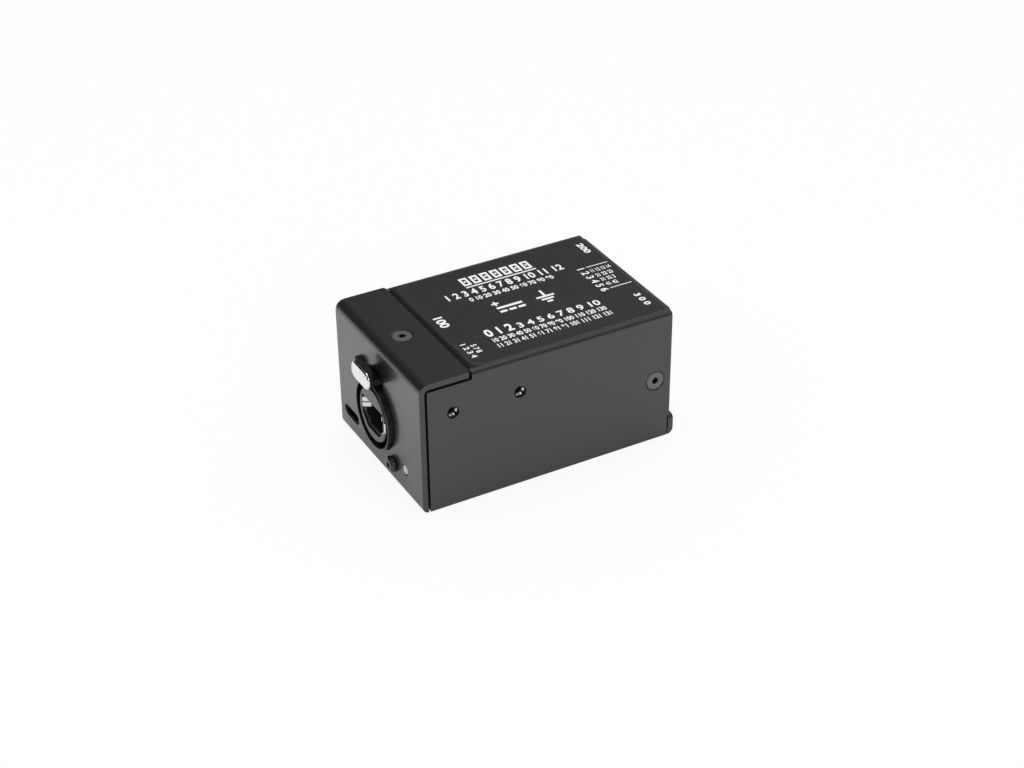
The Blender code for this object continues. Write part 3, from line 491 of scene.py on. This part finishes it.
def socket_liner():
    """The moulded sleeve inside the shield, from its mouth back to the contact carrier."""
    shield_low, shield_high = corners("jack_shield")
    bm = bmesh.new()
    rows = []
    for inset, depth in LINER_LOOPS:
        half = (shield_high.x - shield_low.x) / 2 - inset
        top = shield_high.z - inset
        low = shield_low.z + inset
        cut = LOWER_CUT - inset * 0.6
        right = [(half, top), (half, low + cut), (half - cut, low)]
        shape = right + [(-x, z) for x, z in reversed(right)]
        rows.append([bm.verts.new(Vector((socket_x + x, shield_low.y + depth, z)) * MM) for x, z in shape])
    skin(bm, rows, round_trip=True)
    bmesh.ops.recalc_face_normals(bm, faces=bm.faces)
    return loose_piece("socket_liner", bm)


# the moulded sleeve is real; its darker nylon is painted shade in the socket's cavity
settle(socket_liner(), SHADED_BLACK_NYLON, "case", "black_nylon")
# the shield's grounding springs as (outward from their wall, depth behind the insert's face)
SPRING_BOW = [(0.55, -0.02), (0.25, 0.1), (-0.55, 1.2), (-1.15, 2.4), (-1.2, 3.3), (-0.6, 4.7), (-0.1, 5.7)]
SPRING_WALL = 6.2
SPRING_T = 0.16
ALONG_Z = (0, 0, 1)
springs = []
for side, heights in ((-1, (0.2, 2.1)), (1, (2.3,))):
    for height in heights:
        bow = [(socket_x + side * (SPRING_WALL + out), insert_face + depth, socket_z + height)
               for out, depth in SPRING_BOW]
        springs.append(strip_along("spring", bow, width=1.5, thickness=SPRING_T, across=ALONG_Z))
# the earthing tab at the insert's right edge, as (out from the socket's axis, proud of the insert's face)
TAB_RUN = [(8.3, 0.06), (8.85, 0.14), (9.3, 0.0)]
tab = [(socket_x + out, insert_face - proud, socket_z + 0.1) for out, proud in TAB_RUN]
springs.append(strip_along("tab", tab, width=3.4, thickness=SPRING_T, across=ALONG_Z))
settle(joined("shield_springs", springs), BRIGHT_NICKEL, "case", "nickel_shell")

# the eight contact wires as (reach out of the carrier, rise)
WIRE_RUN = [(0.3, 0.0), (2.2, 0.0), (6.2, -0.2), (8.3, -0.15), (9.3, 0.1), (9.6, 0.2)]
WIRES = 8
WIRE_PITCH = 1.27
contacts_low, contacts_high = corners("jack_contacts")
carrier_y = contacts_high.y
wire_z = (contacts_low.z + contacts_high.z) / 2
wires = []
for i in range(WIRES):
    x = socket_x + (i - (WIRES - 1) / 2) * WIRE_PITCH
    run = [(x, carrier_y - reach, wire_z + rise) for reach, rise in WIRE_RUN]
    wires.append(strip_along("wire", run, width=0.45, thickness=0.3))
bar_run = [(socket_x, carrier_y - reach, wire_z) for reach in (0.8, 0.1)]
bar = strip_along("bar", bar_run, width=10.3, thickness=1.1)
settle(joined("contact_wires", wires + [bar]), GOLD_FLASH, "case", "gold_plate", "jack_contacts")


# Push lever of the latch: a black nylon arm with a chromed die-cast cap pressed on its front.
# It turns on a steel pin inside the housing.
POLISHED_CHROME = finish("polished_chrome", (0.82, 0.82, 0.83), 0.20, 1.0, peel=900.0, relief=0.000002,
                         rubbed=(0.88, 0.88, 0.88), wear=0.2, dust=0.0, spread=0.05)


def pad_solid(name, loops, front, centre_z, half_w, half_h, corner, steps=12):
    """A pad with round corners, from (inset, depth behind its front) loops, from back to front."""
    bm = bmesh.new()
    rows = []
    for inset, depth in loops:
        row = []
        round_r = max(0.15, corner - inset)
        for i in range(4 * steps):
            quarter = i // steps
            angle = math.radians(90 * (quarter + (i % steps) / (steps - 1)))
            x = (1, -1, -1, 1)[quarter] * (half_w - inset - round_r) + round_r * math.cos(angle)
            z = (1, 1, -1, -1)[quarter] * max(0.02, half_h - inset - round_r) + round_r * math.sin(angle)
            row.append(bm.verts.new(((socket_x + x) * MM, (front + depth) * MM, (centre_z + z) * MM)))
        rows.append(row)
    skin(bm, rows)
    bm.faces.new(rows[0])
    bm.faces.new(list(reversed(rows[-1])))
    bmesh.ops.recalc_face_normals(bm, faces=bm.faces)
    return loose_piece(name, bm, 50)


CAP_LOOPS = [(0.9, 1.2), (0.3, 1.15), (0.05, 1.0), (0.0, 0.75), (0.1, 0.4), (0.4, 0.12), (0.9, 0.02),
             (1.5, 0.06), (2.3, 0.16)]
cap_low, cap_high = corners("lever_cap")
cap_half_w = (cap_high.x - cap_low.x) / 2
cap_half_h = (cap_high.z - cap_low.z) / 2
cap_z = cap_low.z + cap_half_h
cap = pad_solid("thumb_cap", CAP_LOOPS, cap_low.y, cap_z, cap_half_w, cap_half_h, corner=2.75)
settle(cap, POLISHED_CHROME, "push_lever", "satin_chrome", "lever_cap")
BACK_LOOPS = [(0.7, 1.1), (0.2, 1.0), (0.0, 0.75), (0.0, 0.0), (0.25, -0.22)]
BACK_HALF_H = 2.65
arm_low, arm_high = corners("push_lever")
arm_half_w = (arm_high.x - arm_low.x) / 2
back_z = arm_high.z - BACK_HALF_H
thumb_back = pad_solid("thumb_back", BACK_LOOPS, arm_low.y, back_z, arm_half_w, BACK_HALF_H, corner=2.2)
# painted shade: the pad's back takes the darker copy of the nylon, not the arm's own
settle(thumb_back, SHADED_BLACK_NYLON, "push_lever", "black_nylon")
pin_low, pin_high = corners("lever_pin")
pin = (pin_low + pin_high) / 2
KNUCKLE_R = 1.7
KNUCKLE_HALF_L = 4.4
stem_run = [(socket_x, arm_low.y + 0.4, pin.z), (socket_x, pin.y - KNUCKLE_R, pin.z)]
stem = strip_along("stem", stem_run, width=8.6, thickness=1.9)
knuckle_bm = ring_stack([(KNUCKLE_R, -KNUCKLE_HALF_L), (KNUCKLE_R, KNUCKLE_HALF_L)], steps=32)
bmesh.ops.rotate(knuckle_bm, matrix=Matrix.Rotation(math.pi / 2, 3, "Y"), verts=knuckle_bm.verts)
bmesh.ops.translate(knuckle_bm, vec=pin * MM, verts=knuckle_bm.verts)
arm = joined("lever_arm", [stem, loose_piece("knuckle", knuckle_bm)])
settle(arm, BLACK_NYLON, "push_lever", "black_nylon", "push_lever")


def dress(node, mat):
    """Gives a finish to a node that keeps its own shape."""
    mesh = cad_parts[node].data
    mesh.materials.clear()
    mesh.materials.append(mat)


dress("lever_pin", ZINC)


# USB-C socket: a drawn stainless shell with a moulded tongue that carries gold contacts.
# It is soldered to the board and looks out through a slot in the front.
SMOKED_NICKEL = finish("smoked_nickel", (0.028, 0.028, 0.029), 0.40, 1.0, peel=3000.0, relief=0.000004,
                       rubbed=(0.12, 0.12, 0.12), wear=0.5, dust=0.0)
refined("usb_c_shell", "usb_shell", SMOKED_NICKEL, "black_nickel", 0.05)
refined("usb_c_tongue", "usb_tongue", BLACK_NYLON, "black_nylon", 0.08)
FINGERS = 12
FINGER_PITCH = 0.5
FINGER_PROUD = 0.03
tongue_low, tongue_high = corners("usb_tongue")
fingers = []
for i in range(FINGERS):
    for z in (tongue_high.z + FINGER_PROUD, tongue_low.z - FINGER_PROUD):
        x = (tongue_low.x + tongue_high.x) / 2 + (i - (FINGERS - 1) / 2) * FINGER_PITCH
        run = [(x, tongue_low.y + depth, z) for depth in (0.2, 4.3)]
        fingers.append(strip_along("finger", run, width=0.26, thickness=0.06))
settle(joined("usb_c_contacts", fingers), GOLD_FLASH, "case", "gold_plate")


# Lamps: a clear moulded light pipe in a round hole, with a white nylon holder behind it.
# One is beside the network socket and one is in the rear wall.
LENS = finish("frosted_lens", (0.42, 0.42, 0.42), 0.30, peel=2600.0, relief=0.000004,
              rubbed=(0.8, 0.8, 0.8), wear=0.2, dust=0.0, coat=0.3)
WHITE_NYLON = finish("white_nylon", (0.72, 0.72, 0.70), 0.45, peel=3000.0, relief=0.00001)
DOME = [(0.5, 0.29), (1.0, 0.2), (1.4, 0.02), (1.58, -0.2), (1.6, -0.5), (1.6, -3.9), (1.5, -4.0)]
DOME_PROUD = 0.3
set_out("lamp_lenses", loose_piece("dome", ring_stack(DOME), degrees=60),
        {"front_lamp": "front", "rear_lamp": "rear"}, LENS, "clear_lens", depth=DOME_PROUD)
for word in ("front", "rear"):
    refined(f"{word}_lens_holder", f"{word}_lamp_holder", WHITE_NYLON, "white_nylon", 0.15)


# Pixel output and power sockets in the rear wall: a green nylon terminal block with four
# zinc-plated slotted screws, and a round low-voltage socket with a steel pin.
TERMINAL_GREEN = finish("terminal_green", (0.02, 0.16, 0.055), 0.42, peel=2800.0, relief=0.000012,
                        rubbed=(0.08, 0.35, 0.14), wear=0.3)
refined("pixel_terminal", "output_terminal", TERMINAL_GREEN, "green_terminal", 0.12)
refined("power_socket", "power_jack", BLACK_NYLON, "black_nylon", 0.1)
refined("power_centre_pin", "power_pin", BRIGHT_NICKEL, "zinc_plate")
for i in range(1, 5):
    refined(f"clamp_screw_{i}", f"terminal_screw_{i}", ZINC, "zinc_plate", 0.05, body=f"terminal_screw_{i}")


# Board: glass-epoxy laminate with solder mask, on four standoffs, and the parts soldered to it.
# It is held by four pan head screws and can only be seen through the rear openings.
SOLDER_MASK = finish("solder_mask", (0.006, 0.055, 0.028), 0.28, peel=1500.0, relief=0.00002,
                     rubbed=(0.5, 0.45, 0.3), wear=0.3)
CHIP_EPOXY = finish("chip_epoxy", (0.018, 0.018, 0.019), 0.5, peel=4000.0, relief=0.000008)
GREY_CAN = finish("drawn_can", (0.36, 0.36, 0.37), 0.34, 0.9, peel=3000.0, relief=0.000005)
YELLOW_DIP = finish("dipped_resin", (0.62, 0.40, 0.05), 0.32, peel=1500.0, relief=0.00004)
dress("main_board", SOLDER_MASK)
for chip in ("network_transformer", "network_chip", "processor", "storage_chip", "line_driver"):
    dress(chip, CHIP_EPOXY)
for can in ("power_coil", "capacitor_front", "capacitor_rear"):
    dress(can, GREY_CAN)
dress("crystal", BRIGHT_NICKEL)
dress("resettable_fuse", YELLOW_DIP)
for i in range(1, 5):
    dress(f"standoff_{i}", ZINC)
    dress(f"board_screw_{i}", ZINC)


# Legend: a thin black film on the top with white screen-printed marks.
# Its front corners are cut off beside the seam, and a lighter strip along its edges is a painted highlight.
def flat_piece(name, outline, low, high):
    """A thin plate from an outline of (x, y) in mm."""
    bm = bmesh.new()
    face = bm.faces.new([bm.verts.new((x * MM, y * MM, low * MM)) for x, y in outline])
    grown = bmesh.ops.extrude_face_region(bm, geom=[face])
    moved = [v for v in grown["geom"] if isinstance(v, bmesh.types.BMVert)]
    bmesh.ops.translate(bm, vec=(0, 0, (high - low) * MM), verts=moved)
    bmesh.ops.recalc_face_normals(bm, faces=bm.faces)
    return loose_piece(name, bm)


LEGEND_FILM = finish("legend_film", (0.0165, 0.0165, 0.0175), 0.36, peel=3200.0, relief=0.000006,
                     rubbed=(0.16, 0.16, 0.165), wear=1.2, wear_width=0.00016, dust=0.02)
PRINT_WHITE = finish("print_white", (0.80, 0.80, 0.80), 0.5, peel=3000.0, relief=0.000004, dust=0.0, wear=0.0)
FILM_EDGE_HIGHLIGHT = finish("film_edge_painted_highlight", (0.055, 0.055, 0.057), 0.45, peel=3200.0, relief=0.00001, dust=0.05)
top_z = corners("cover")[1].z
film_low, rim_z, film_top = top_z - 0.03, top_z + 0.04, top_z + 0.06
FILM_HALF_W = 26.7
FILM_FRONT = -24.6
FILM_REAR = 42.2
CORNER_CUT = (2.4, 2.7)
film = [(-FILM_HALF_W, FILM_FRONT + CORNER_CUT[1]), (-FILM_HALF_W + CORNER_CUT[0], FILM_FRONT),
        (FILM_HALF_W - CORNER_CUT[0], FILM_FRONT), (FILM_HALF_W, FILM_FRONT + CORNER_CUT[1]),
        (FILM_HALF_W, FILM_REAR), (-FILM_HALF_W, FILM_REAR)]
settle(flat_piece("legend_film", film, film_low, film_top), LEGEND_FILM, "case", "black_powder_coat")
# painted highlight: lighter strips laid along the film's edges
RIM_LAP = 0.02
highlight_rims = []
for (x0, y0), (x1, y1) in zip(film[2:], film[3:] + film[:2]):
    ahead = Vector((x1 - x0, y1 - y0, 0)).normalized() * RIM_LAP
    run = [(x0 - ahead.x, y0 - ahead.y, rim_z), (x1 + ahead.x, y1 + ahead.y, rim_z)]
    highlight_rims.append(strip_along("rim", run, width=0.2, thickness=0.06, across=ahead.cross(Vector((0, 0, 1)))))
settle(joined("film_rim", highlight_rims), FILM_EDGE_HIGHLIGHT, "case", "black_powder_coat")
ink_low, ink_middle, ink_top = top_z + 0.05, top_z + 0.07, top_z + 0.085
marks = []


def bar_mark(y, x, length, width):
    """A printed bar that starts at (y, x), runs along +Y and is wide along X."""
    outline = [(x, y), (x, y + length), (x + width, y + length), (x + width, y)]
    marks.append(flat_piece("mark", outline, ink_low, ink_top))


FIGURE_SHARE = 0.72     # of a letter's full size


def number_mark(text, y, x, height, length, turned=False, weight=0.035):
    """Printed numbers drawn out to a length, whose baseline starts at (y, x) along +Y, or +X if turned."""
    curve = bpy.data.curves.new("mark", "FONT")
    curve.body = text
    curve.size = height * MM / FIGURE_SHARE
    curve.offset = weight * height * MM
    curve.extrude = 0.018 * MM
    obj = bpy.data.objects.new("mark", curve)
    bpy.context.scene.collection.objects.link(obj)
    bpy.context.view_layer.update()
    mesh = bpy.data.meshes.new_from_object(obj.evaluated_get(bpy.context.evaluated_depsgraph_get()))
    bpy.data.objects.remove(obj)
    xs = [v.co.x for v in mesh.vertices]
    ys = [v.co.y for v in mesh.vertices]
    fit = Matrix.Diagonal((length * MM / (max(xs) - min(xs)), height * MM / (max(ys) - min(ys)), 1, 1))
    corner = Matrix.Translation((-min(xs), -min(ys), 0))
    turn = Matrix.Rotation(0 if turned else math.pi / 2, 4, "Z")
    mesh.transform(Matrix.Translation(Vector((x, y, ink_middle)) * MM) @ turn @ fit @ corner)
    marks.append(bpy.data.objects.new("mark", mesh))


# the run of seven pixels, the rule under it, and its numbers
PIXELS = 7
PIXEL_PITCH = 3.62
RUN_FRONT = -5.2
for i in range(PIXELS):
    y = RUN_FRONT + i * PIXEL_PITCH
    bar_mark(y, -21.2, 2.7, 0.9)
    bar_mark(y, -17.3, 2.7, 0.9)
    bar_mark(y, -20.3, 0.75, 3.0)
    bar_mark(y + 1.95, -20.3, 0.75, 3.0)
    bar_mark(y + 1.05, -19.3, 0.6, 1.0)
bar_mark(RUN_FRONT, -15.6, 24.9, 0.6)
number_mark("1 2 3 4 5 6 7 8 9 10 11 12", -13.6, -10.5, 3.6, 41.1)
number_mark("0 10 20 30 40 50 60 70 80 90", -7.8, -7.0, 2.3, 29.6, weight=0.04)
# direct current, and ground
bar_mark(-3.0, 0.0, 8.8, 1.1)
for i in range(3):
    bar_mark(-3.0 + i * 3.2, 2.3, 2.4, 1.1)
number_mark("+", -3.4, -1.0, 2.4, 2.4, weight=0.05)
GROUND_Y = 13.6
bar_mark(GROUND_Y - 0.35, -2.6, 0.8, 3.4)
for i, length in enumerate((6.2, 4.2, 2.0)):
    bar_mark(GROUND_Y - length / 2, 0.8 + i * 1.6, length, 0.9)
# the lower rows of numbers
number_mark("0 1 2", -13.3, 14.1, 4.2, 9.4, weight=0.045)
number_mark("3 4 5 6 7 8 9 10", -2.4, 14.1, 3.1, 28.7, weight=0.03)
for row, x in enumerate((17.6, 20.9)):
    number_mark(" ".join(str(10 * (i + 1) + row) for i in range(13)), -13.0, x, 2.3, 39.3, weight=0.04)
# beside the sockets
number_mark("100", -23.0, -3.7, 3.1, 6.4, True, 0.045)
number_mark("1 2 3 4", -22.9, 13.8, 1.9, 8.3, True, 0.03)
number_mark("5 7 8", -20.3, 15.4, 1.9, 4.8, True, 0.03)
number_mark("200", 38.3, -22.4, 2.3, 6.6, True, 0.045)
number_mark("3 0 0", 37.6, 13.8, 2.2, 7.6, True, 0.045)
short_rows = {-4.2: ("11 12 13 14", 7.1), -1.0: ("21 22 23", 6.0), 2.1: ("31 32 3", 5.0), 5.2: ("41 42", 4.1)}
for x, (text, length) in short_rows.items():
    number_mark(text, 33.8, x, 2.0, length, weight=0.03)
number_mark("1 2 3 4 5 6", 30.3, -8.0, 2.7, 15.8, True, 0.03)
for x in (-8.0, 6.7):
    bar_mark(33.7, x, 7.7, 0.35)
printed = joined("legend_print", marks)
printed.data.materials.append(PRINT_WHITE)
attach(printed, "case")


# Studio: a pale floor that keeps the object's shadow, a white background, and three soft lamps.
# Reflections see a floor with a painted shadow that darkens it under the object, and a sky that is bright
# only high at the back.
floor_bm = bmesh.new()
bmesh.ops.create_grid(floor_bm, x_segments=1, y_segments=1, size=3.0)
floor = loose_piece("floor", floor_bm)
floor.location.z = -0.3 * MM
FLOOR = bpy.data.materials.new("pale_floor")
FLOOR.use_nodes = True
tree = FLOOR.node_tree
shader = tree.nodes["Principled BSDF"]
shader.inputs["Base Color"].default_value = (0.80, 0.80, 0.80, 1.0)
shader.inputs["Roughness"].default_value = 0.9
path = tree.nodes.new("ShaderNodeLightPath")
direct = sum_node(tree, "MAXIMUM", path.outputs["Is Camera Ray"], path.outputs["Is Transmission Ray"])
# painted shadow: for glossy rays the floor's glow falls off towards the object
reach = tree.nodes.new("ShaderNodeVectorMath")
reach.operation = "LENGTH"
tree.links.new(tree.nodes.new("ShaderNodeTexCoord").outputs["Object"], reach.inputs[0])
painted_floor_shadow = tree.nodes.new("ShaderNodeMapRange")
for label, value in (("From Min", 0.052), ("From Max", 0.122), ("To Min", 0.18), ("To Max", 0.86)):
    painted_floor_shadow.inputs[label].default_value = value
tree.links.new(reach.outputs["Value"], painted_floor_shadow.inputs["Value"])
DIRECT_WHITE = 0.9
seen = sum_node(tree, "MAXIMUM", sum_node(tree, "MULTIPLY", direct, DIRECT_WHITE),
                sum_node(tree, "MULTIPLY", path.outputs["Is Glossy Ray"], painted_floor_shadow.outputs[0]))
glow = tree.nodes.new("ShaderNodeEmission")
glow.inputs["Strength"].default_value = 1.0
mix = tree.nodes.new("ShaderNodeMixShader")
tree.links.new(seen, mix.inputs[0])
tree.links.new(shader.outputs[0], mix.inputs[1])
tree.links.new(glow.outputs[0], mix.inputs[2])
tree.links.new(mix.outputs[0], tree.nodes["Material Output"].inputs["Surface"])
floor.data.materials.append(FLOOR)

world = bpy.data.worlds.new("studio")
bpy.context.scene.world = world
world.use_nodes = True
tree = world.node_tree
sky = tree.nodes["Background"]
sky.inputs["Color"].default_value = (0.95, 0.95, 0.95, 1.0)
split = tree.nodes.new("ShaderNodeSeparateXYZ")
tree.links.new(tree.nodes.new("ShaderNodeTexCoord").outputs["Generated"], split.inputs[0])
ramp = tree.nodes.new("ShaderNodeValToRGB")
stops = ramp.color_ramp.elements
stops[0].color = (0, 0, 0, 1)
for position, level in ((0.22, 0.01), (0.46, 0.13), (0.60, 0.60)):
    stops.new(position).color = (level, level, level, 1)
stops[-1].color = (0.70, 0.70, 0.70, 1)
behind = sum_node(tree, "ADD", sum_node(tree, "MULTIPLY", split.outputs["Z"], 0.5),
                  sum_node(tree, "MULTIPLY", split.outputs["Y"], 0.5))
tree.links.new(behind, ramp.inputs[0])
gloss = tree.nodes.new("ShaderNodeBackground")
tree.links.new(ramp.outputs[0], gloss.inputs["Color"])
white = tree.nodes.new("ShaderNodeBackground")
white.inputs["Color"].default_value = (1, 1, 1, 1)
path = tree.nodes.new("ShaderNodeLightPath")
below = sky.outputs[0]
for ray, over in (("Is Glossy Ray", gloss), ("Is Transmission Ray", white), ("Is Camera Ray", white)):
    mix = tree.nodes.new("ShaderNodeMixShader")
    tree.links.new(path.outputs[ray], mix.inputs[0])
    tree.links.new(below, mix.inputs[1])
    tree.links.new(over.outputs[0], mix.inputs[2])
    below = mix.outputs[0]
tree.links.new(below, tree.nodes["World Output"].inputs["Surface"])


def softbox(name, at, size, watts, aim=(0, 0, 0.02)):
    """A square lamp that looks at the object, with its place and size in metres."""
    lamp = bpy.data.lights.new(name, "AREA")
    lamp.shape = "SQUARE"
    lamp.size = size
    lamp.energy = watts
    obj = bpy.data.objects.new(name, lamp)
    bpy.context.scene.collection.objects.link(obj)
    obj.location = at
    obj.rotation_euler = (Vector(aim) - Vector(at)).to_track_quat("-Z", "Y").to_euler()


softbox("key_softbox", (-0.05, 0.05, 1.1), 0.6, 2.2)
softbox("fill_softbox", (0.95, -0.1, 0.5), 0.6, 2.0)
softbox("edge_softbox", (0.21, -0.73, 0.63), 0.22, 0.7)

# the camera looks at a point from an azimuth and elevation, with a small roll
AIM = (4.158, 0, 18.765)
DISTANCE = 639.3
azimuth, elevation, roll = (math.radians(v) for v in (61.362, 32.664, -0.633))
back = Vector((math.sin(azimuth) * math.cos(elevation), -math.cos(azimuth) * math.cos(elevation),
               math.sin(elevation)))
across = Vector((math.cos(azimuth), math.sin(azimuth), 0))
upward = back.cross(across)
camera_right = math.cos(roll) * across + math.sin(roll) * upward
camera_up = -math.sin(roll) * across + math.cos(roll) * upward
lens = bpy.data.cameras.new("camera")
lens.lens = 72.07
lens.sensor_width = 36.0
lens.clip_start = 0.01
camera = bpy.data.objects.new("camera", lens)
bpy.context.scene.collection.objects.link(camera)
place = (Vector(AIM) + back * DISTANCE) * MM
turn = Matrix((camera_right, camera_up, back)).transposed().to_4x4()
camera.matrix_world = Matrix.Translation(place) @ turn
bpy.context.scene.camera = camera
bpy.context.scene.view_settings.view_transform = "Standard"
